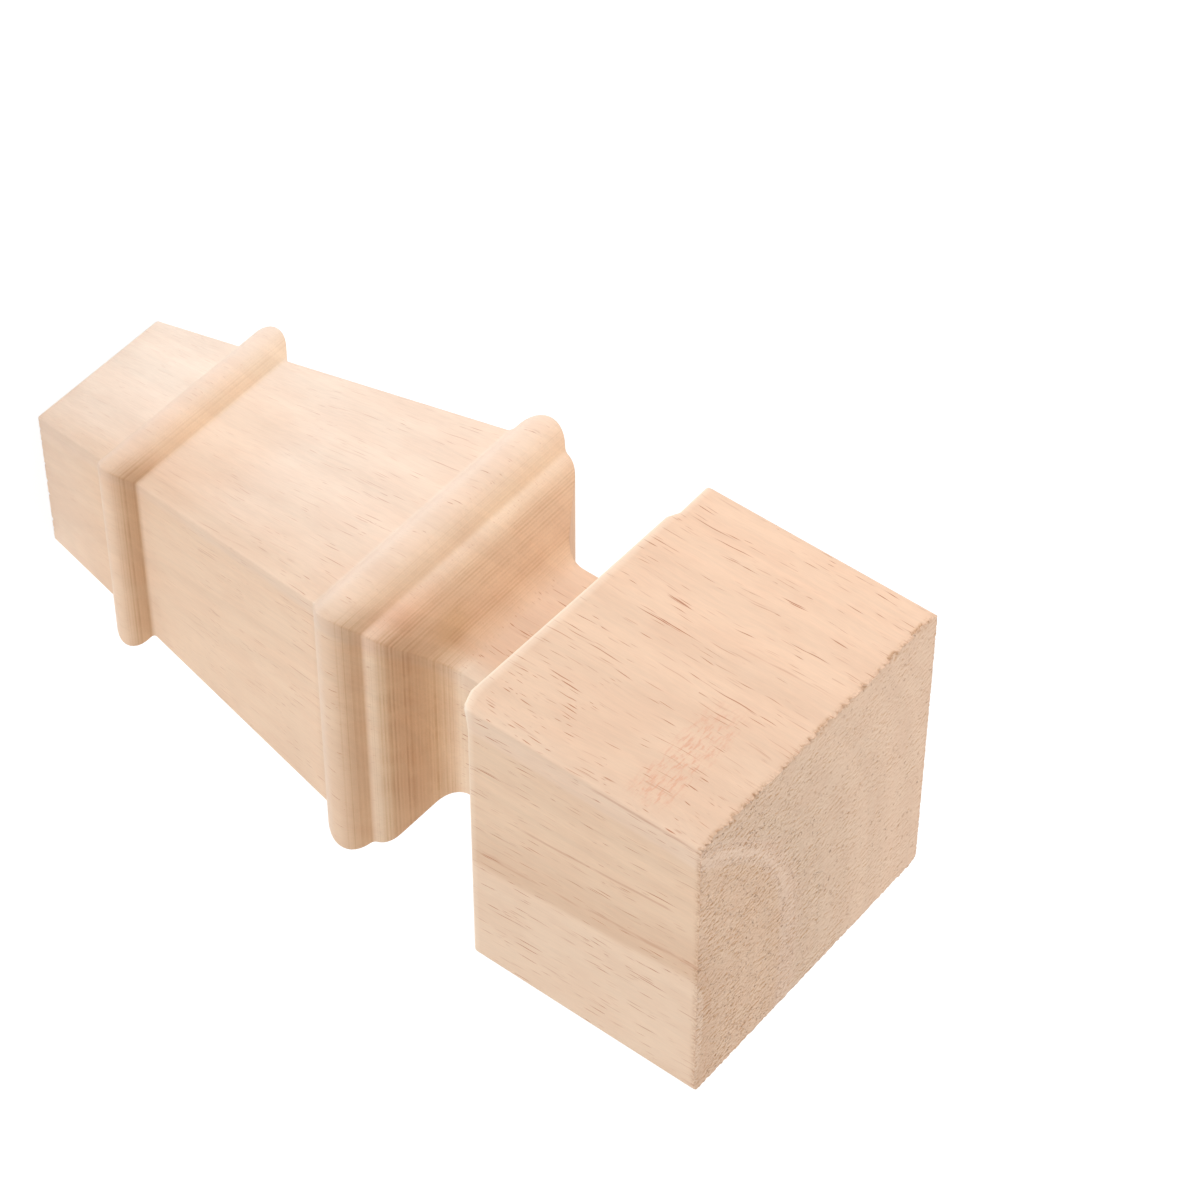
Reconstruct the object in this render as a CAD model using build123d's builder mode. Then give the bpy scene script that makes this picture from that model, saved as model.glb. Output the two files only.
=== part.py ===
from build123d import *
from math import radians, tan
import os

# A square furniture leg: head block, neck, ogee, large bead, tapered shaft, small bead and foot.
# It is one length of solid wood, with the same outline cut into all four of its sides.
# The frame has +Z along the leg, its origin at the centre of the foot's end, and the four
# sides square to X and Y.

# Driving dimensions, in millimetres. Each width is across the flats of the square section.
height = 150.0

# Head block, left at the full size of the blank
head_width = 60.0
head_length = 44.8

# Neck: a deep hollow under the block, square to it, with a large radius in its upper corner
neck_width = 29.4
neck_length = 16.2
root_radius = 8.0

# Ogee: a hollow, a straight slope and a rounded crown that widen the neck
ogee_length = 5.9
cove_radius = 6.0
crown_radius = 4.6
crown_width = 49.4

# Listel: the narrow band from the crown to the large bead, this many degrees off the leg's axis
listel_angle = 14.0

# Large bead, its middle this far below the top of the head
large_bead_width = 56.0
large_bead_radius = 5.7
large_bead_drop = 74.6

# Shaft and foot, one straight taper from the middle of the large bead to the floor
shaft_width = 50.2
foot_width = 29.4

# Small bead, its middle this far above the floor
small_bead_width = 42.4
small_bead_radius = 4.1
small_bead_rise = 22.0

# Small hollow that the cutter leaves on both sides of each bead
large_bead_hollow = 2.0
small_bead_hollow = 1.2

# Easing of the long arrises and of the edges round the shoulder and the foot
arris_radius = 0.6

# Levels along the leg, from the floor
shoulder_level = height - head_length
neck_end_level = shoulder_level - neck_length
crown_level = neck_end_level - ogee_length
large_bead_level = height - large_bead_drop
small_bead_level = small_bead_rise

# Half width that the listel would have at the middle of the large bead
listel_half = crown_width / 2 + (crown_level - large_bead_level) * tan(radians(listel_angle))

# Centres of the bead circles, from the leg's axis
large_bead_centre = large_bead_width / 2 - large_bead_radius
small_bead_centre = small_bead_width / 2 - small_bead_radius

# Each outline runs this far both ways, well past the sides of the blank
outline_run = 2 * head_width

# Two places nearer than this are the same place
same_place = 0.001

with BuildPart() as leg:
    with BuildSketch(Plane.XZ) as front_outline:
        # Half of the outline, from the foot to the head, without its beads. The rounded corners
        # are the crown, the cove and the root of the neck.
        with BuildLine():
            corners = [
                (0, 0),
                (foot_width / 2, 0),
                (shaft_width / 2, large_bead_level),
                (listel_half, large_bead_level),
                (crown_width / 2, crown_level),
                (neck_width / 2, neck_end_level),
                (neck_width / 2, shoulder_level),
                (head_width / 2, shoulder_level),
                (head_width / 2, height),
                (0, height),
            ]
            corner_radii = [0, 0, 0, crown_radius, cove_radius, root_radius, 0, 0]
            FilletPolyline(*corners, radius=corner_radii)
            Line(corners[-1], corners[0])
        make_face()

        # Each bead is part of a circle that stands out of the side
        with Locations((large_bead_centre, large_bead_level)):
            Circle(large_bead_radius)
        with Locations((small_bead_centre, small_bead_level)):
            Circle(small_bead_radius)

        # The corners beside the beads are slightly hollow
        for bead_level, hollow in (
            (large_bead_level, large_bead_hollow),
            (small_bead_level, small_bead_hollow),
        ):
            bead_arcs = front_outline.edges().filter_by(GeomType.CIRCLE).filter_by(
                lambda arc: abs(arc.arc_center.Y - bead_level) < same_place
            )
            fillet(bead_arcs.vertices(), radius=hollow)
        mirror(about=Plane.YZ)
    extrude(amount=outline_run, both=True)

    # The same outline crosses the first at right angles, so the mouldings meet in mitres
    with BuildSketch(Plane.YZ) as side_outline:
        add(front_outline.sketch_local)
    extrude(amount=outline_run, both=True, mode=Mode.INTERSECT)

    # The mitre lines run down the four corners of the leg, as far from X as from Y
    mitre_lines = leg.edges().filter_by(
        lambda edge: abs(abs(edge.center().X) - abs(edge.center().Y)) < same_place
    )
    shoulder_rim = leg.edges().filter_by(
        lambda edge: abs(edge.center().Z - shoulder_level) < same_place
        and abs(edge.length - head_width) < same_place
    )
    foot_rim = leg.edges().group_by(Axis.Z)[0]
    fillet(mitre_lines + shoulder_rim + foot_rim, radius=arris_radius)

leg.part.label = "leg"
os.makedirs("parts", exist_ok=True)
export_step(leg.part, "parts/leg.step")
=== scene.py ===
import math

import bmesh
import bpy
from mathutils import Matrix, Vector, noise


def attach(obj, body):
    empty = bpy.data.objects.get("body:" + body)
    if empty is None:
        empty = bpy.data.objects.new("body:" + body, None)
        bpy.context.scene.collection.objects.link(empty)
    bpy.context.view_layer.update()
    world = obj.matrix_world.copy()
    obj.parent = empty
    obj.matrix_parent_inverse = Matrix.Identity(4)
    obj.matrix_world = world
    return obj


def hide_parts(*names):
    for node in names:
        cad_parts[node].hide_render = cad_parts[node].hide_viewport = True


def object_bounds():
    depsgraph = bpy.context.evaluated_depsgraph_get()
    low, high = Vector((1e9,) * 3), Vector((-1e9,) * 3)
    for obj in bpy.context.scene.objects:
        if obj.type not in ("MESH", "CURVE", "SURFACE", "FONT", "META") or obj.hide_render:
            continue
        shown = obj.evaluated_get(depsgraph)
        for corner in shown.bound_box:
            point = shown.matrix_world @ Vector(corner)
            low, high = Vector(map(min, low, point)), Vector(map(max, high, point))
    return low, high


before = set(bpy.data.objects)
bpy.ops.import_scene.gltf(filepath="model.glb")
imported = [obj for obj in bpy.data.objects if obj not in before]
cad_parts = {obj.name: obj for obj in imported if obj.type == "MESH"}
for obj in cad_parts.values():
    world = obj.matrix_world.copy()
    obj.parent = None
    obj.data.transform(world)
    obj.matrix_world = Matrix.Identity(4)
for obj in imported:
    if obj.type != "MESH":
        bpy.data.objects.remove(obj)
cad_low, cad_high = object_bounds()

# The camera looks down on the leg's front and right-hand sides, and is rolled on its own axis,
# so that the standing leg fills the picture from corner to corner, foot at the upper left.
camera_azimuth = math.radians(35.648)
camera_elevation = math.radians(24.599)
camera_roll = math.radians(120.293)
camera_distance = 0.67456
camera_aim = Vector((-0.01417, -0.01017, 0.09624))
focal_length_px = 4195.0
picture_width_px = 1200
sensor_width_mm = 36.0

camera_back = Vector((
    math.sin(camera_azimuth) * math.cos(camera_elevation),
    -math.cos(camera_azimuth) * math.cos(camera_elevation),
    math.sin(camera_elevation),
))
camera_side = Vector((math.cos(camera_azimuth), math.sin(camera_azimuth), 0))
camera_turn = Matrix((camera_side, camera_back.cross(camera_side), camera_back)).transposed()
camera = bpy.data.objects.new("camera", bpy.data.cameras.new("camera"))
camera.data.sensor_width = sensor_width_mm
camera.data.lens = focal_length_px / picture_width_px * sensor_width_mm
camera.data.clip_start = 0.01
camera.matrix_world = (
    Matrix.Translation(camera_aim + camera_back * camera_distance)
    @ camera_turn.to_4x4()
    @ Matrix.Rotation(camera_roll, 4, "Z")
)
bpy.context.scene.collection.objects.link(camera)
bpy.context.scene.camera = camera

# Studio light: an even white surround, a soft box in front and to the left, and weaker, very
# soft lamps beside and above. Each level is what a white card that faces the lamp would
# gain from it.
surround_level = 0.60
box_place = Vector((-0.08, -0.42, 0.06))
box_aim = Vector((0, 0, 0.07))
box_width = 0.30
box_level = 0.375
box = bpy.data.objects.new("soft_box", bpy.data.lights.new("soft_box", "AREA"))
box.data.shape = "SQUARE"
box.data.size = box_width
box.data.energy = box_level * math.pi ** 2 * (box_place - box_aim).length_squared
box.location = box_place
box.rotation_euler = (box_place - box_aim).to_track_quat("Z", "Y").to_euler()
box.visible_camera = False
bpy.context.scene.collection.objects.link(box)
lamps = {"side_lamp": ((0.95, -0.2, 0.12), 0.25, 40), "top_lamp": ((-0.3, 0.35, 0.85), 0.36, 60)}
for lamp_name, (towards, level, softness) in lamps.items():
    lamp = bpy.data.objects.new(lamp_name, bpy.data.lights.new(lamp_name, "SUN"))
    lamp.data.energy = level * math.pi
    lamp.data.angle = math.radians(softness)
    lamp.rotation_euler = Vector(towards).to_track_quat("Z", "Y").to_euler()
    bpy.context.scene.collection.objects.link(lamp)


def looked_at(tree):
    """One where the camera sees a surface, straight or by way of a shiny or clear one; else zero."""
    ray = tree.nodes.new("ShaderNodeLightPath")
    seen = ray.outputs["Is Camera Ray"]
    for kind in ("Is Glossy Ray", "Is Transmission Ray"):
        either = tree.nodes.new("ShaderNodeMath")
        either.operation = "MAXIMUM"
        tree.links.new(seen, either.inputs[0])
        tree.links.new(ray.outputs[kind], either.inputs[1])
        seen = either.outputs[0]
    return seen


world = bpy.data.worlds.new("surround")
world.use_nodes = True
bpy.context.scene.world = world
nodes, links = world.node_tree.nodes, world.node_tree.links
nodes.clear()
lighting = nodes.new("ShaderNodeBackground")
lighting.inputs["Strength"].default_value = surround_level
backdrop = nodes.new("ShaderNodeBackground")
backdrop.inputs["Strength"].default_value = 1.0
for background in (lighting, backdrop):
    background.inputs["Color"].default_value = (1, 1, 1, 1)
shown = nodes.new("ShaderNodeMixShader")
links.new(looked_at(world.node_tree), shown.inputs[0])
links.new(lighting.outputs[0], shown.inputs[1])
links.new(backdrop.outputs[0], shown.inputs[2])
links.new(shown.outputs[0], nodes.new("ShaderNodeOutputWorld").inputs[0])

# Floor: a plain white sheet that the leg stands on. The camera sees most of it as bare white,
# and the rest as lit paper, so that the leg's shadow shows faintly.
floor_reach = 2.5
shadow_share = 0.3
paper_colour = (0.92, 0.92, 0.92, 1)
paper_glow = 1.2
sheet = bmesh.new()
bmesh.ops.create_grid(sheet, x_segments=1, y_segments=1, size=floor_reach)
floor_mesh = bpy.data.meshes.new("floor")
sheet.to_mesh(floor_mesh)
sheet.free()
floor = bpy.data.objects.new("floor", floor_mesh)
bpy.context.scene.collection.objects.link(floor)
paper = bpy.data.materials.new("white_paper")
paper.use_nodes = True
floor_mesh.materials.append(paper)
nodes, links = paper.node_tree.nodes, paper.node_tree.links
nodes.clear()
lit = nodes.new("ShaderNodeBsdfDiffuse")
lit.inputs["Color"].default_value = paper_colour
bare = nodes.new("ShaderNodeEmission")
bare.inputs["Strength"].default_value = paper_glow
share = nodes.new("ShaderNodeMath")
share.operation = "MULTIPLY"
share.inputs[1].default_value = 1 - shadow_share
shown = nodes.new("ShaderNodeMixShader")
links.new(looked_at(paper.node_tree), share.inputs[0])
links.new(share.outputs[0], shown.inputs[0])
links.new(lit.outputs[0], shown.inputs[1])
links.new(bare.outputs[0], shown.inputs[2])
links.new(shown.outputs[0], nodes.new("ShaderNodeOutputMaterial").inputs[0])

# The leg: one length of pale, open-pored hardwood, moulded on all four sides, so that the
# beads and the ogee meet in mitres, then lightly sanded. Both ends are cross-cut, and the saw
# tore the rim of the head.
mm = 0.001
leg_height = cad_high.z
head_half = cad_high.x
shoulder_z = leg_height - 44.8 * mm
root_radius = 8.0 * mm
neck_half = 14.7 * mm
neck_end_z = shoulder_z - 16.2 * mm
cove_radius = 6.0 * mm
crown_radius = 4.6 * mm
crown_half = 24.7 * mm
crown_z = neck_end_z - 5.9 * mm
listel_slope = math.tan(math.radians(14))
large_bead_z = leg_height - 74.6 * mm
large_bead_half = 28.0 * mm
large_bead_radius = 5.7 * mm
large_bead_hollow = 2.0 * mm
small_bead_z = 22.0 * mm
small_bead_half = 21.2 * mm
small_bead_radius = 4.1 * mm
small_bead_hollow = 1.2 * mm
shaft_half = 25.1 * mm
foot_half = 14.7 * mm
edge_radius = 0.6 * mm

# The plain sides that the beads stand on: the half width at the floor's level, and its growth
# with height
listel_side = (crown_half + crown_z * listel_slope, -listel_slope)
shaft_side = (foot_half, (shaft_half - foot_half) / large_bead_z)

# How finely the bends are cut, and how far beside a hollow one more ring holds the side straight
bead_steps = 14
hollow_steps = 8
support_gap = 0.3 * mm


def straight(start, end, steps):
    """Evenly spaced points of the outline between two points, without them; each is (half width, z)."""
    return [Vector(start).lerp(Vector(end), step / steps) for step in range(1, steps)]


def arc(centre, start, end, steps):
    """Points along an arc about a centre, with both of its ends."""
    turn = (start - centre).angle_signed(end - centre)
    turns = [Matrix.Rotation(-turn * step / steps, 2) for step in range(steps + 1)]
    return [centre + turned @ (start - centre) for turned in turns]


def rounded(before, corner, after, radius, steps):
    """Points of the arc that rounds one corner of the outline."""
    before, corner, after = Vector(before), Vector(corner), Vector(after)
    inward, onward = (before - corner).normalized(), (after - corner).normalized()
    half_angle = inward.angle(onward) / 2
    centre = corner + (inward + onward).normalized() * radius / math.sin(half_angle)
    reach = radius / math.tan(half_angle)
    return arc(centre, corner + inward * reach, corner + onward * reach, steps)


def bead(bead_z, bead_half, radius, hollow, above, below):
    """Points of a bead and of the hollows beside it, from the head towards the foot."""
    centre = Vector((bead_half - radius, bead_z))
    feet, hollows = [], []
    for (base, growth), way in ((above, 1), (below, -1)):
        # The hollow's centre lies off the plain side by the hollow's radius, and off the bead's
        # centre by both radii
        run = math.hypot(1, growth)
        gap = base + growth * bead_z + hollow * run - centre.x
        lift = (way * math.sqrt((radius + hollow) ** 2 * run ** 2 - gap ** 2) - gap * growth) / run ** 2
        hollow_centre = centre + Vector((gap + growth * lift, lift))
        on_bead = centre + (hollow_centre - centre) * radius / (radius + hollow)
        on_side = hollow_centre - Vector((1, -growth)) * hollow / run
        beside = on_side + Vector((growth, 1)) * way * support_gap
        feet.append(on_bead)
        hollows.append([beside] + arc(hollow_centre, on_side, on_bead, hollow_steps))
    return hollows[0] + arc(centre, *feet, bead_steps)[1:-1] + hollows[1][::-1]


# The outline from the head to the foot. Its points are close together where the saw tore the
# head's rim and where the cutter left the shoulder's edge uneven.
rim_drops = (0.15, 0.35, 0.6, 0.9, 1.3, 1.8, 2.6, 4, 6)
head_corner = (head_half, leg_height)
block_end = (head_half, shoulder_z + 5 * mm)
lip_start = (head_half, shoulder_z + 6 * mm)
shoulder = (head_half, shoulder_z)
neck_top = (neck_half, shoulder_z)
neck_end = (neck_half, neck_end_z)
crown_corner = (crown_half, crown_z)
listel_end = (listel_side[0] + listel_side[1] * large_bead_z, large_bead_z)
sole_inset = 1.5 * mm

root = rounded(shoulder, neck_top, neck_end, root_radius, 10)
cove = rounded(neck_top, neck_end, crown_corner, cove_radius, 8)
crown = rounded(neck_end, crown_corner, listel_end, crown_radius, 8)
large_bead = bead(
    large_bead_z, large_bead_half, large_bead_radius, large_bead_hollow, listel_side, shaft_side
)
small_bead = bead(
    small_bead_z, small_bead_half, small_bead_radius, small_bead_hollow, shaft_side, shaft_side
)
foot_rim = rounded((shaft_half, large_bead_z), (foot_half, 0), (0, 0), edge_radius, 4)

outline = [Vector((head_half, leg_height - drop * mm)) for drop in rim_drops]
outline += straight(outline[-1], block_end, 3)
outline += straight(lip_start, (head_half, shoulder_z + edge_radius), 6)
outline += rounded(head_corner, shoulder, neck_top, edge_radius, 4)
outline += straight(outline[-1], root[0], 4) + root
outline += straight(root[-1], cove[0], 2) + cove
outline += straight(cove[-1], crown[0], 4) + crown
outline += large_bead
outline += straight(outline[-1], small_bead[0], 8) + small_bead
outline += straight(outline[-1], foot_rim[0], 4) + foot_rim
outline.append(Vector((foot_half - sole_inset, 0)))

# The head's end is a square sheet, finer towards its corners. Its rim is drawn down the
# outline, and a last face closes the foot.
side_steps = 140
corner_crowding = 0.25
same_level = 0.01 * mm
leg_bm = bmesh.new()
bmesh.ops.create_grid(leg_bm, x_segments=side_steps, y_segments=side_steps, size=head_half)
for vert in leg_bm.verts:
    for axis in (0, 1):
        share = vert.co[axis] / head_half
        vert.co[axis] = head_half * (share * (1 + corner_crowding) - share ** 3 * corner_crowding)
bmesh.ops.translate(leg_bm, vec=(0, 0, leg_height), verts=leg_bm.verts)
sawn_faces = list(leg_bm.faces)
rim = [edge for edge in leg_bm.edges if edge.is_boundary]
half, level = head_half, leg_height
for point in outline:
    grown = bmesh.ops.extrude_edge_only(leg_bm, edges=rim)["geom"]
    ring = [item for item in grown if isinstance(item, bmesh.types.BMVert)]
    rim = [item for item in grown if isinstance(item, bmesh.types.BMEdge) and item.is_boundary]
    bmesh.ops.scale(leg_bm, vec=(point.x / half, point.x / half, 1), verts=ring)
    bmesh.ops.translate(leg_bm, vec=(0, 0, point.y - level), verts=ring)
    half, level = point
bmesh.ops.edgeloop_fill(leg_bm, edges=rim)
sawn_faces += [face for face in leg_bm.faces if max(vert.co.z for vert in face.verts) < same_level]
planed_slot, sawn_slot = 0, 1
for face in leg_bm.faces:
    face.smooth = True
    face.material_index = planed_slot
for face in sawn_faces:
    face.material_index = sawn_slot

# The four arrises are barely eased, and unevenly on the head, whose shoulder also has an uneven
# edge in front where the cutter ran out. The saw left the rim of the head torn, most in front,
# and the right-hand edge of the foot a little rough. The head's corners are told apart by
# whether they are on the right and at the back.
arris_wear = 0.5
head_corner_wear = {(True, False): 0.8, (True, True): 1.8, (False, True): 2.6, (False, False): 1.2}
torn_depth = {"front": 0.7 * mm, "back": 0.14 * mm, "right": 0.2 * mm, "left": 0.1 * mm}
torn_reach = 1.1 * mm
torn_splay = 0.4
torn_evenly = 0.4
notches_per_m = 1600
notch_swing = 1.5
broad_notch_share = 0.35
broad_notch_rate = 0.3
foot_torn_depth = 0.9 * mm
foot_torn_reach = 1.2 * mm
foot_notches_per_m = 960
pale_edge_width = 1.1 * mm
pale_edge_beside = 0.6

# Places across the front edge of the shoulder, and how far it is from its plain level there,
# both in millimetres
lip_steps = ((-30, 0.3), (-22.5, 0.3), (-20.5, -0.8), (0, -1.2), (26.5, -1.9), (29.3, -0.9), (30, -0.2))
lip_reach_z = 5.0 * mm
lip_reach_y = 5.0 * mm
lip_fullness = 1.4
pale_edge = leg_bm.verts.layers.float.new("pale_edge")
torn_edge = leg_bm.verts.layers.float.new("torn_edge")


def lip_shift(x):
    """How far the front edge of the shoulder stands from its plain level, at a place across the leg."""
    for (x0, shift0), (x1, shift1) in zip(lip_steps, lip_steps[1:]):
        if x <= x1 * mm:
            share = max(0, (x / mm - x0) / (x1 - x0))
            return (shift0 + (shift1 - shift0) * share) * mm
    return lip_steps[-1][1] * mm


for vert in leg_bm.verts:
    # Arrises
    x, y, z = vert.co
    half = head_half if z > leg_height - same_level else max(abs(x), abs(y))
    radius = edge_radius * (head_corner_wear[x > 0, y > 0] if z > shoulder_z else arris_wear)
    over_x, over_y = abs(x) - half + radius, abs(y) - half + radius
    if over_x > 0 and over_y > 0:
        pull = max(over_x, over_y) / math.hypot(over_x, over_y)
        vert.co.x = math.copysign(half - radius + over_x * pull, x)
        vert.co.y = math.copysign(half - radius + over_y * pull, y)

    # Torn rim of the head: splinters that broke downwards and inwards
    if abs(y) > abs(x):
        side, along = ("front" if y < 0 else "back"), x
    else:
        side, along = ("right" if x > 0 else "left"), y
    from_rim = math.hypot(leg_height - z, head_half - max(abs(x), abs(y)))
    nearness = max(0, 1 - from_rim / torn_reach)
    if nearness > 0:
        seat = Vector((along * notches_per_m, len(side), torn_depth[side] / mm))
        ragged = noise.noise(seat) + broad_notch_share * noise.noise(seat * broad_notch_rate)
        notch = max(0, torn_evenly + notch_swing * ragged)
        sink = torn_depth[side] * min(1, notch) * nearness
        vert.co.z -= sink
        if side in ("left", "right"):
            vert.co.x -= math.copysign(sink * torn_splay, x)
        else:
            vert.co.y -= math.copysign(sink * torn_splay, y)
        vert[torn_edge] = nearness * (0.4 + 0.6 * notch)

    # Rough right-hand edge of the foot
    if z < foot_torn_reach and x > foot_half - mm:
        wave = noise.noise(Vector((x, y, 0)) * foot_notches_per_m)
        vert.co.z += foot_torn_depth * max(0, wave) * (1 - z / foot_torn_reach)

    # Front edge of the shoulder, and the paler wood along the shoulder's edges
    if y < -head_half + lip_reach_y and abs(z - shoulder_z) < lip_reach_z:
        weight = 1 - abs(z - shoulder_z) / lip_reach_z
        weight *= min(1, lip_fullness - lip_fullness * (y + head_half) / lip_reach_y)
        vert.co.z += lip_shift(x) * weight
    if shoulder_z - mm < z < shoulder_z + 4 * mm and half > head_half - 2 * mm:
        from_edge = z - shoulder_z if half > head_half - 0.05 * mm else 0
        paleness = 1 if y < -head_half + mm else pale_edge_beside
        vert[pale_edge] = max(0, 1 - from_edge / pale_edge_width) * paleness

bmesh.ops.recalc_face_normals(leg_bm, faces=leg_bm.faces)
leg_mesh = bpy.data.meshes.new("leg_wood")
leg_bm.to_mesh(leg_mesh)
leg_bm.free()
leg_mesh.set_sharp_from_angle(angle=math.radians(40))
leg = bpy.data.objects.new("leg_wood", leg_mesh)
bpy.context.scene.collection.objects.link(leg)


def add_node(tree, kind, values, **settings):
    """Adds a shader node; each value is a number, a colour or the socket that feeds that input."""
    node = tree.nodes.new("ShaderNode" + kind)
    for name, setting in settings.items():
        setattr(node, name, setting)
    for socket, value in values.items():
        if isinstance(value, bpy.types.NodeSocket):
            tree.links.new(value, node.inputs[socket])
        else:
            node.inputs[socket].default_value = value
    return node


def calc(tree, operation, *values):
    """One sum, in the words that the Math node has for it."""
    return add_node(tree, "Math", dict(enumerate(values)), operation=operation).outputs[0]


def product(tree, first, *others):
    """All the values multiplied together."""
    for other in others:
        first = calc(tree, "MULTIPLY", first, other)
    return first


def vector_calc(tree, operation, *values):
    """The same for places and directions."""
    return add_node(tree, "VectorMath", dict(enumerate(values)), operation=operation).outputs[0]


def stretched(tree, place, factors):
    """A place scaled on its own in each direction, so that a pattern there is longer or shorter."""
    return vector_calc(tree, "MULTIPLY", place, factors)


def apart(tree, vector):
    """The three parts of a place or a direction."""
    return add_node(tree, "SeparateXYZ", {0: vector}).outputs


def together(tree, **parts):
    """A vector from the parts that are given; the others are zero."""
    values = {part.upper(): value for part, value in parts.items()}
    return add_node(tree, "CombineXYZ", values).outputs[0]


def distance_from_zero(tree, vector):
    """The length of a vector."""
    return add_node(tree, "VectorMath", {0: vector}, operation="LENGTH").outputs["Value"]


def cloudy(tree, place, scale, detail, **more):
    """Soft noise over a place; more takes the node's other inputs, with their names in small letters."""
    values = {"Vector": place, "Scale": scale, "Detail": detail}
    values.update({name.capitalize(): value for name, value in more.items()})
    return add_node(tree, "TexNoise", values).outputs


def layered(tree, distance, scale, detail):
    """Soft noise that changes with one distance only."""
    values = {"W": distance, "Scale": scale, "Detail": detail}
    return add_node(tree, "TexNoise", values, noise_dimensions="1D").outputs[0]


def ramp(tree, value, start, end, low=0.0, high=1.0):
    """Goes smoothly from low to high while the value goes from start to end."""
    values = {0: value, 1: start, 2: end, 3: low, 4: high}
    return add_node(tree, "MapRange", values, interpolation_type="SMOOTHSTEP").outputs[0]


def blend(tree, share, first, second, how="MIX"):
    """Mixes two colours."""
    values = {0: share, 6: first, 7: second}
    return add_node(tree, "Mix", values, data_type="RGBA", blend_type=how).outputs[2]


def tinted(tree, share, colour, tint):
    """Multiplies a colour by a tint, by as much of it as the share says."""
    return blend(tree, share, colour, tint, "MULTIPLY")


def start_group(name, inputs, outputs):
    """Starts a node group. An input is a number, or None for a vector; gives back its two ends."""
    group = bpy.data.node_groups.new(name, "ShaderNodeTree")
    for socket_name, default in inputs.items():
        kind = "NodeSocketVector" if default is None else "NodeSocketFloat"
        socket = group.interface.new_socket(name=socket_name, in_out="INPUT", socket_type=kind)
        if default is not None:
            socket.default_value = default
    for socket_name, kind in outputs.items():
        group.interface.new_socket(name=socket_name, in_out="OUTPUT", socket_type="NodeSocket" + kind)
    return group, group.nodes.new("NodeGroupInput").outputs, group.nodes.new("NodeGroupOutput").inputs


def use_group(tree, group, values):
    """Places a node group in a material with its own values."""
    node = tree.nodes.new("ShaderNodeGroup")
    node.node_tree = group
    for socket, value in values.items():
        if isinstance(value, bpy.types.NodeSocket):
            tree.links.new(value, node.inputs[socket])
        else:
            node.inputs[socket].default_value = value
    return node.outputs


# Grain direction: places in the wood, in millimetres, shifted so that straight vessels and
# fibres lean and wander as they do in the tree, and draw together with the taper of the shaft.
# They lean most on the right-hand side.
taper_per_mm = 0.0055
grain_drift, given, result = start_group(
    "grain_drift", {"Position": None, "Lean": 0.07, "Wander": 1.0}, {"Position": "Vector"}
)
place = given["Position"]
parts = apart(grain_drift, place)
lean = calc(grain_drift, "MULTIPLY", given["Lean"], ramp(grain_drift, parts[0], 8.0, 26.0))
lean = together(grain_drift, y=calc(grain_drift, "MULTIPLY", parts[2], lean))
drift = cloudy(grain_drift, place, 0.04, 1.0)["Color"]
drift = vector_calc(grain_drift, "SUBTRACT", drift, (0.5, 0.5, 0.5))
drift = stretched(grain_drift, drift, (3.5, 1.5, 0.0))
drift = add_node(grain_drift, "VectorMath", {0: drift, 3: given["Wander"]}, operation="SCALE").outputs[0]
wobble = cloudy(grain_drift, stretched(grain_drift, place, (1.0, 1.0, 0.45)), 0.5, 0.0)["Color"]
wobble = vector_calc(grain_drift, "SUBTRACT", wobble, (0.5, 0.5, 0.5))
wobble = stretched(grain_drift, wobble, (0.4, 0.4, 0.0))
moved = vector_calc(grain_drift, "ADD", vector_calc(grain_drift, "ADD", place, wobble), lean)
below_bead = calc(grain_drift, "SUBTRACT", large_bead_z / mm, parts[2])
below_bead = calc(grain_drift, "MAXIMUM", below_bead, 0.0)
narrowing = calc(grain_drift, "MULTIPLY_ADD", below_bead, taper_per_mm, 1.0)
moved = stretched(grain_drift, moved, together(grain_drift, x=narrowing, y=narrowing, z=1.0))
grain_drift.links.new(vector_calc(grain_drift, "ADD", moved, drift), result["Position"])

# Growth rings: how far a place is from the pith, and the layers that this makes. The tree grew
# unevenly, so the rings are longer on the side beyond the pith.
side_growth = 0.4
growth_rings, given, result = start_group(
    "growth_rings",
    {"Position": None, "Pith X": 48.8, "Pith Y": 10.6, "Lean": 0.0, "Waviness": 2.0},
    {"Radius": "Float", "Broad": "Float", "Fine": "Float"},
)
parts = apart(growth_rings, given["Position"])
below_head = calc(growth_rings, "SUBTRACT", leg_height / mm, parts[2])
pith_y = calc(growth_rings, "MULTIPLY_ADD", below_head, given["Lean"], given["Pith Y"])
wave = cloudy(growth_rings, given["Position"], 0.05, 1.0)[0]
wave = product(growth_rings, calc(growth_rings, "SUBTRACT", wave, 0.5), given["Waviness"])
from_pith_x = calc(growth_rings, "SUBTRACT", parts[0], given["Pith X"])
from_pith_y = calc(growth_rings, "SUBTRACT", parts[1], pith_y)
from_pith_y = calc(growth_rings, "MINIMUM", from_pith_y, product(growth_rings, from_pith_y, side_growth))
radius = distance_from_zero(growth_rings, together(growth_rings, x=from_pith_x, y=from_pith_y))
radius = calc(growth_rings, "ADD", radius, wave)
growth_rings.links.new(layered(growth_rings, radius, 0.22, 1.0), result["Broad"])
growth_rings.links.new(layered(growth_rings, radius, 1.1, 2.0), result["Fine"])
growth_rings.links.new(radius, result["Radius"])

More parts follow.
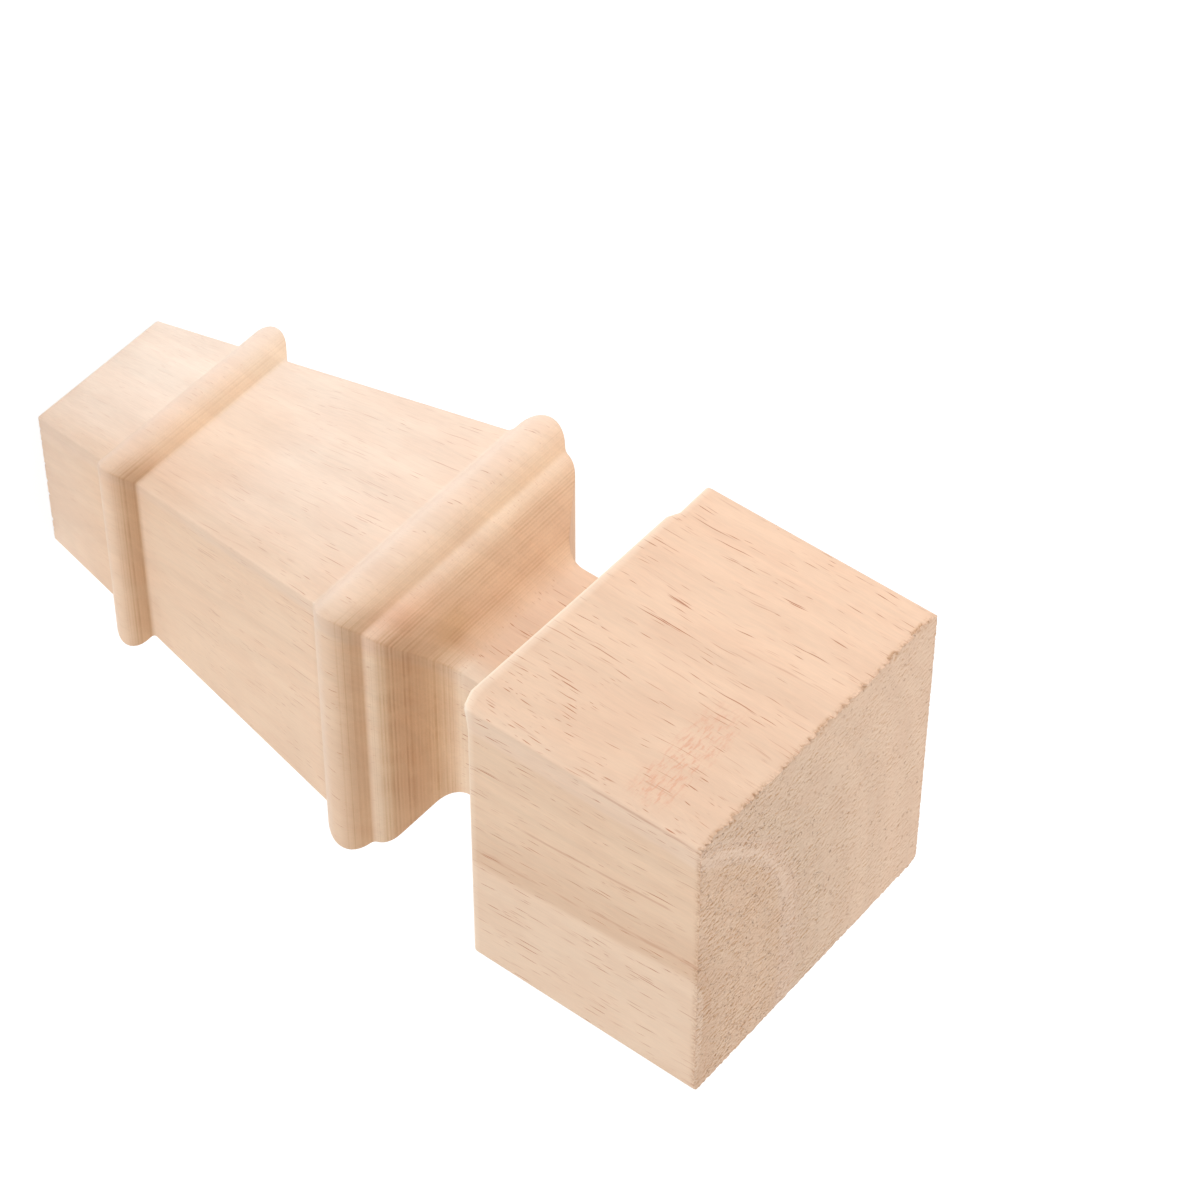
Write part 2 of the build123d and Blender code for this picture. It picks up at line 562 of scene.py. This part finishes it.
# Dark streaks: one growth ring that shows as a thin dark line, broken along the grain.
dark_streaks, given, result = start_group(
    "dark_streaks", {"Position": None, "Radius": 0.0, "Ring": 44.0, "Width": 0.3}, {"Mask": "Float"}
)
gap = calc(dark_streaks, "ABSOLUTE", calc(dark_streaks, "SUBTRACT", given["Radius"], given["Ring"]))
line = ramp(dark_streaks, calc(dark_streaks, "DIVIDE", gap, given["Width"]), 0.3, 1.0, 1.0, 0.0)
run = cloudy(dark_streaks, stretched(dark_streaks, given["Position"], (0.5, 0.5, 0.09)), 1.0, 2.0)[0]
streak = product(dark_streaks, line, ramp(dark_streaks, run, 0.42, 0.6))
dark_streaks.links.new(streak, result["Mask"])

# Vessels: long thin tubes along the grain. A cut along them shows strokes, a cut across them pores.
vessels, given, result = start_group(
    "vessels",
    {"Position": None, "Spacing": 0.7, "Length": 20.0, "Width": 0.3, "Presence": 0.8},
    {"Mask": "Float", "Tone": "Float"},
)
across = calc(vessels, "DIVIDE", 1.0, given["Spacing"])
along = calc(vessels, "DIVIDE", 1.0, given["Length"])
cell_place = stretched(vessels, given["Position"], together(vessels, x=across, y=across, z=along))
cells = add_node(vessels, "TexVoronoi", {"Vector": cell_place, "Scale": 1.0}).outputs
chance = add_node(vessels, "SeparateColor", {0: cells["Color"]}).outputs
reach = product(vessels, given["Width"], across, 0.5)
reach = product(vessels, reach, calc(vessels, "MULTIPLY_ADD", chance[1], 0.9, 0.55))
inside = calc(vessels, "SUBTRACT", 1.0, calc(vessels, "DIVIDE", cells["Distance"], reach))
inside = ramp(vessels, inside, 0.0, 0.6)
crowd = cloudy(vessels, stretched(vessels, given["Position"], (0.3, 0.3, 0.04)), 1.0, 1.0)[0]
crowd = product(vessels, ramp(vessels, crowd, 0.38, 0.58, 0.45, 1.0), given["Presence"])
present = calc(vessels, "LESS_THAN", chance[0], crowd)
vessels.links.new(product(vessels, inside, present), result["Mask"])
vessels.links.new(chance[2], result["Tone"])

# Fibres: the fine stringy texture between the vessels.
fibres, given, result = start_group(
    "fibres", {"Position": None, "Across": 0.3, "Along": 6.0}, {"Fibre": "Float"}
)
across = calc(fibres, "DIVIDE", 1.0, given["Across"])
along = calc(fibres, "DIVIDE", 1.0, given["Along"])
thread_place = stretched(fibres, given["Position"], together(fibres, x=across, y=across, z=along))
threads = cloudy(fibres, thread_place, 1.0, 3.0, roughness=0.6)[0]
fibres.links.new(threads, result["Fibre"])

# Colours of the wood, from the pith outwards, and of what is cut into it. Towards the foot
# the colour is painted paler, as a sheen of light.
inner_colour = (0.850, 0.640, 0.475, 1)
heart_edge_colour = (0.770, 0.545, 0.380, 1)
heart_colour = (0.830, 0.605, 0.432, 1)
lower_heart_sheen_colour = (0.890, 0.655, 0.475, 1)
pale_ring_colour = (0.840, 0.630, 0.475, 1)
sapwood_colour = (0.805, 0.570, 0.412, 1)
outer_colour = (0.875, 0.610, 0.440, 1)
foot_sheen_colour = (1.000, 0.850, 0.725, 1)
mottle_tint = (0.975, 0.950, 0.940, 1)
vessel_colour = (0.480, 0.175, 0.085, 1)
torn_colour = (0.500, 0.270, 0.150, 1)

# Heartwood that is darker or paler from one level to another, in millimetres
heart_bands = (
    (69.0, 79.5, (0.930, 0.915, 0.895, 1)),
    (81.0, 83.8, (1.090, 1.190, 1.270, 1)),
    (86.8, 91.5, (1.140, 1.230, 1.300, 1)),
    (91.0, 105.0, (1.050, 1.130, 1.180, 1)),
)


def grey(tree, level):
    """The same level in all three channels."""
    return add_node(tree, "CombineColor", {0: level, 1: level, 2: level}).outputs[0]


def start_wood(name, layer_strength, streak_strength):
    """Starts a wood material with the colour of its growth layers; gives back what the rest needs."""
    material = bpy.data.materials.new(name)
    material.use_nodes = True
    tree = material.node_tree
    place = add_node(tree, "TexCoord", {}).outputs["Object"]
    place = add_node(tree, "Mapping", {"Vector": place, "Scale": (1 / mm, 1 / mm, 1 / mm)}).outputs[0]
    level = apart(tree, place)[2]
    grain = use_group(tree, grain_drift, {"Position": place})["Position"]
    heart = use_group(tree, growth_rings, {"Position": place, "Lean": 0.089, "Waviness": 1.2})
    rings = use_group(tree, growth_rings, {"Position": place, "Lean": 0.0, "Waviness": 1.5})

    # Heartwood and sapwood, each painted paler low down as a sheen of light
    colour = blend(tree, ramp(tree, heart["Radius"], 20.2, 20.9), inner_colour, heart_edge_colour)
    colour = blend(tree, ramp(tree, heart["Radius"], 20.8, 27.0), colour, heart_colour)
    colour = blend(tree, ramp(tree, level, 102.0, 78.0, 0.0, 0.8), colour, lower_heart_sheen_colour)
    colour = blend(tree, ramp(tree, rings["Radius"], 39.8, 40.8), colour, pale_ring_colour)
    sapwood = ramp(tree, rings["Radius"], 43.0, 47.0)
    outer = blend(tree, ramp(tree, rings["Radius"], 45.0, 85.0), sapwood_colour, outer_colour)
    painted_sheen = ramp(tree, level, 100.0, 54.0, 0.0, 0.55)
    painted_sheen = calc(tree, "ADD", painted_sheen, ramp(tree, level, 60.0, 0.0, 0.0, 0.45))
    painted_sheen = product(tree, painted_sheen, ramp(tree, rings["Radius"], 44.0, 58.0, 0.5, 1.0))
    colour = blend(tree, sapwood, colour, blend(tree, painted_sheen, outer, foot_sheen_colour))
    # The foot is painted palest of all, more of the same painted sheen
    colour = blend(tree, ramp(tree, level, 19.0, 1.0, 0.0, 0.4), colour, foot_sheen_colour)
    heartwood = ramp(tree, sapwood, 0.0, 1.0, 1.0, 0.0)
    for low, high, tint in heart_bands:
        above_low = ramp(tree, level, low - 1, low + 1)
        below_high = ramp(tree, level, high + 1, high - 1)
        colour = tinted(tree, product(tree, above_low, below_high, heartwood), colour, tint)

    # Layers, mottling and dark rings
    for layers, strength in ((heart["Broad"], 0.025), (rings["Fine"], 0.015)):
        strength *= layer_strength
        layers = ramp(tree, layers, 0.25, 0.75, 1 - strength, 1 + strength)
        colour = tinted(tree, 1.0, colour, grey(tree, layers))
    mottle = cloudy(tree, stretched(tree, place, (0.22, 0.22, 0.09)), 1.0, 3.0, roughness=0.6)[0]
    colour = tinted(tree, ramp(tree, mottle, 0.35, 0.65), colour, mottle_tint)
    for radius, ring, width in (
        (rings["Radius"], 44.1, 0.35),
        (heart["Radius"], 22.3, 0.4),
        (heart["Radius"], 29.5, 0.3),
    ):
        values = {"Position": place, "Radius": radius, "Ring": ring, "Width": width}
        streak = use_group(tree, dark_streaks, values)["Mask"]
        streak = product(tree, streak, ramp(tree, level, 98.0, 112.0, 0.0, streak_strength))
        colour = blend(tree, streak, colour, vessel_colour)
    return material, tree, place, level, grain, rings, sapwood, colour


def finish_wood(tree, colour, roughness, heights):
    """Feeds the surface shader; each height is a pattern and how deep it goes, in millimetres."""
    surface = tree.nodes["Principled BSDF"]
    normal = None
    for pattern, depth in heights:
        bump = add_node(tree, "Bump", {"Height": pattern, "Distance": depth * mm, "Strength": 1.0})
        if normal:
            tree.links.new(normal, bump.inputs["Normal"])
        normal = bump.outputs[0]
    tree.links.new(normal, surface.inputs["Normal"])
    tree.links.new(colour, surface.inputs["Base Color"])
    tree.links.new(roughness, surface.inputs["Roughness"])


# Long sides: planed and sanded, with open vessels as fine reddish strokes, darker and lined
# where the cutter went across the grain, on the slopes of the mouldings that face the head;
# that darkening is partly the wood's own and partly painted shade.
# The sides of the beads that face the foot carry a faint painted highlight.
heart_slope_grain_and_shade_tint = (0.715, 0.600, 0.475, 1)
sapwood_slope_grain_and_shade_tint = (0.990, 0.930, 0.820, 1)
bead_painted_highlight_colour = (1.000, 0.920, 0.850, 1)
wood, tree, place, level, grain, rings, sapwood, colour = start_wood("planed_hardwood", 1.0, 0.35)
slope = apart(tree, add_node(tree, "NewGeometry", {}).outputs["Normal"])[2]
# Slopes that face the head: darker, partly cross-cut grain and partly painted shade
tint = blend(tree, ramp(tree, rings["Radius"], 41.0, 50.0), heart_slope_grain_and_shade_tint, sapwood_slope_grain_and_shade_tint)
colour = tinted(tree, ramp(tree, slope, -0.2, 0.9), colour, tint)
# Painted highlight on the sides that face the foot
colour = blend(tree, ramp(tree, slope, -0.1, -0.6, 0.0, 0.22), colour, bead_painted_highlight_colour)

# Cutter marks: even fine lines across the leg, and broader, irregular chatter
mark_spacing = 0.32
mark_tint = (0.700, 0.580, 0.450, 1)
chatter_tint = (0.800, 0.710, 0.600, 1)
waver = cloudy(tree, place, 0.2, 2.0)[0]
turns = calc(tree, "MULTIPLY_ADD", level, 2 * math.pi / mark_spacing, product(tree, waver, 3.0))
marks = calc(tree, "MULTIPLY_ADD", calc(tree, "SINE", turns), 0.5, 0.5)
marks = product(
    tree,
    marks,
    ramp(tree, layered(tree, level, 1.6, 1.0), 0.3, 0.65, 0.35, 1.0),
    ramp(tree, slope, 0.12, 0.8),
    ramp(tree, waver, 0.35, 0.6, 0.5, 1.0),
    ramp(tree, level, 79.0, 84.0, 0.45, 1.0),
)
colour = tinted(tree, product(tree, marks, 0.38), colour, mark_tint)
chatter = product(
    tree,
    ramp(tree, layered(tree, level, 2.8, 1.0), 0.45, 0.68),
    ramp(tree, slope, 0.05, 0.5),
    ramp(tree, waver, 0.3, 0.6, 0.5, 1.0),
    ramp(tree, sapwood, 0.0, 1.0, 0.58, 0.2),
)
colour = tinted(tree, chatter, colour, chatter_tint)

# Open vessels in three sizes, each with its spacing, length and width in millimetres and its
# strength. They are fainter low down and on the steep mouldings.
open_vessels = ((0.52, 24.0, 0.20, 1.00), (0.38, 11.0, 0.165, 1.0), (1.20, 70.0, 0.34, 0.30))
vessel_depth, fibre_depth, mark_depth = 0.015, 0.03, 0.02
heights = []
steep = calc(tree, "ABSOLUTE", slope)
for spacing, length, width, strength in open_vessels:
    tubes = use_group(tree, vessels, {
        "Position": grain, "Spacing": spacing, "Length": length, "Width": width, "Presence": 1.0,
    })
    share = product(
        tree,
        tubes["Mask"],
        ramp(tree, tubes["Tone"], 0.0, 1.0, 0.25 * strength, strength),
        ramp(tree, level, 20.0, 112.0, 0.22, 1.0),
        ramp(tree, steep, 0.15, 0.45, 1.0, 0.2),
    )
    colour = blend(tree, share, colour, vessel_colour)
    heights.append((calc(tree, "SUBTRACT", 1.0, tubes["Mask"]), vessel_depth))
threads = use_group(tree, fibres, {"Position": grain, "Across": 0.28, "Along": 4.0})["Fibre"]
colour = tinted(tree, 1.0, colour, grey(tree, ramp(tree, threads, 0.3, 0.7, 0.975, 1.025)))
heights += [(threads, fibre_depth), (marks, mark_depth)]

# A reddish scuff across the grain of the front, near the head
scuff_colour = (0.740, 0.360, 0.230, 1)
spot = apart(tree, place)
lines = cloudy(tree, stretched(tree, place, (0.45, 1.0, 1.5)), 1.0, 5.0, roughness=0.7)[0]
scuff = product(
    tree,
    ramp(tree, spot[2], 132.5, 135.5),
    ramp(tree, spot[2], 142.5, 139.0),
    ramp(tree, spot[0], 2.0, 12.0),
    ramp(tree, spot[0], 29.0, 26.0),
    ramp(tree, spot[1], -29.0, -29.5),
    ramp(tree, lines, 0.46, 0.64, 0.04, 0.70),
)
colour = blend(tree, scuff, colour, scuff_colour)

# Stains in front: a brown patch on the ogee, where the cutter rubbed, warmer wood on and beside
# the small bead and at one end of the crown, a paler part of the crown and a browner neck; under
# the shoulder a painted highlight pales the neck again. Each has its centre and radii in millimetres.
stains_and_highlight = (
    ((11.0, -19.0, 86.5), (5.0, 4.0, 2.8), 0.7, (0.86, 0.82, 0.70, 1)),
    ((4.0, -19.0, 31.0), (19.0, 8.0, 12.0), 0.9, (0.98, 0.91, 0.85, 1)),
    ((20.0, -24.0, 82.0), (12.0, 4.0, 3.0), 0.9, (1.01, 0.89, 0.85, 1)),
    ((-14.0, -25.0, 80.5), (14.0, 4.0, 2.6), 0.7, (1.07, 1.09, 1.07, 1)),
    ((10.0, -16.0, 93.0), (22.0, 5.0, 8.0), 0.9, (0.93, 0.91, 0.90, 1)),
    # Painted highlight on the neck, under the shoulder
    ((-6.0, -20.0, 102.5), (16.0, 6.0, 4.5), 1.0, (1.04, 1.10, 1.13, 1)),
    ((0.0, -20.0, 22.0), (30.0, 5.0, 5.0), 0.9, (0.98, 0.92, 0.88, 1)),
)
for centre, radii, strength, tint in stains_and_highlight:
    reach = vector_calc(tree, "DIVIDE", vector_calc(tree, "SUBTRACT", place, centre), radii)
    reach = distance_from_zero(tree, reach)
    colour = tinted(tree, ramp(tree, reach, 1.3, 0.2, 0.0, strength), colour, tint)

# The shoulder's pale edge and the torn rim
pale_edge_colour = (1.000, 0.845, 0.680, 1)
worn = add_node(tree, "Attribute", {}, attribute_name="pale_edge").outputs["Fac"]
colour = blend(tree, product(tree, worn, 0.85), colour, pale_edge_colour)
splinters = cloudy(tree, place, 2.0, 2.0)[0]
torn = add_node(tree, "Attribute", {}, attribute_name="torn_edge").outputs["Fac"]
torn = product(tree, torn, ramp(tree, splinters, 0.40, 0.56, 0.15, 1.0))
colour = blend(tree, torn, colour, torn_colour)
finish_wood(tree, colour, ramp(tree, threads, 0.3, 0.7, 0.62, 0.72), heights)
leg_mesh.materials.append(wood)

# Ends: sawn across the grain and left rough, with the vessels as dark pores, most in the
# heartwood, and one smooth pale ring round it.
heart_end_tint = (0.910, 0.880, 0.875, 1)
sapwood_end_tint = (0.905, 0.930, 0.940, 1)
end_ring_colour = (0.860, 0.700, 0.560, 1)
end_ring_radius = 42.3
sawn, tree, place, level, grain, rings, sapwood, colour = start_wood("sawn_end_grain", 0.7, 0.12)
colour = tinted(tree, 1.0, colour, blend(tree, sapwood, heart_end_tint, sapwood_end_tint))
ring = calc(tree, "ABSOLUTE", calc(tree, "SUBTRACT", rings["Radius"], end_ring_radius))
ring = ramp(tree, ring, 0.2, 1.1, 0.7, 0.0)
ring = product(tree, ring, ramp(tree, apart(tree, place)[1], -6.0, 8.0, 1.0, 0.0))
colour = blend(tree, product(tree, ring, 0.12), colour, end_ring_colour)

# Pores in two sizes, each with its spacing, length and width in millimetres and its strength
pores = ((1.1, 20.0, 0.5, 0.6), (0.62, 12.0, 0.30, 0.5))
pore_colour = (0.560, 0.310, 0.170, 1)
pore_depth = 0.15
heights = []
crowded = ramp(tree, rings["Radius"], 62.0, 40.0, 0.35, 1.0)
crowded = product(tree, crowded, calc(tree, "SUBTRACT", 1.0, ring))
for spacing, length, width, strength in pores:
    tubes = use_group(tree, vessels, {
        "Position": grain, "Spacing": spacing, "Length": length, "Width": width, "Presence": crowded,
    })
    share = ramp(tree, tubes["Tone"], 0.0, 1.0, 0.25 * strength, strength * 1.3)
    colour = blend(tree, product(tree, tubes["Mask"], share), colour, pore_colour)
    heights.append((calc(tree, "SUBTRACT", 1.0, tubes["Mask"]), pore_depth))

# Crumbs that the saw left. The difference between the pattern and the same pattern moved a
# little paints each crumb with a highlight on one side and shade on the other.
crumb_shift = 0.45
crumb_turn = math.radians(-8)
crumb_stretch = (0.75, 1.25, 1.0)
crumb_depth = 0.45
crumb_painted_highlight_tint = (1.050, 1.070, 1.090, 1)
crumb_painted_shade_tint = (0.770, 0.650, 0.500, 1)
painted_pit_shade_tint = (0.800, 0.620, 0.420, 1)
crumbs = []
for shift in (0.0, crumb_shift):
    values = {
        "Vector": place, "Location": (0, shift, 0), "Rotation": (0, 0, crumb_turn), "Scale": crumb_stretch,
    }
    spot = add_node(tree, "Mapping", values).outputs[0]
    crumbs.append(cloudy(tree, spot, 1.2, 4.0, roughness=0.7, distortion=0.4)[0])
rugged = ramp(tree, rings["Radius"], 66.0, 38.0, 0.5, 1.0)
rugged = product(tree, rugged, calc(tree, "MULTIPLY_ADD", ring, -0.5, 1.0))
patches = ramp(tree, cloudy(tree, place, 0.16, 2.0)[0], 0.38, 0.62, 0.35, 1.1)
painted_crumb_shading = product(tree, calc(tree, "SUBTRACT", *crumbs), rugged, patches)
crumb_painted_highlight = tinted(tree, 1.0, colour, crumb_painted_highlight_tint)
crumb_painted_shade = tinted(tree, 1.0, colour, crumb_painted_shade_tint)
colour = blend(tree, ramp(tree, painted_crumb_shading, -0.17, 0.06), crumb_painted_shade, crumb_painted_highlight)
rough = crumbs[0]
# Painted shade in the pits between the crumbs
painted_pit_shade = product(tree, ramp(tree, rough, 0.45, 0.34, 0.0, 0.7), rugged)
colour = tinted(tree, painted_pit_shade, colour, painted_pit_shade_tint)
heights.append((product(tree, rough, rugged), crumb_depth))
torn = add_node(tree, "Attribute", {}, attribute_name="torn_edge").outputs["Fac"]
torn = product(tree, torn, ramp(tree, rough, 0.5, 0.3, 0.1, 0.7))
colour = blend(tree, torn, colour, torn_colour)
finish_wood(tree, colour, ramp(tree, rough, 0.2, 0.6, 0.75, 0.85), heights)
leg_mesh.materials.append(sawn)

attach(leg, "root")
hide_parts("leg")

bpy.context.scene.view_settings.view_transform = "Standard"
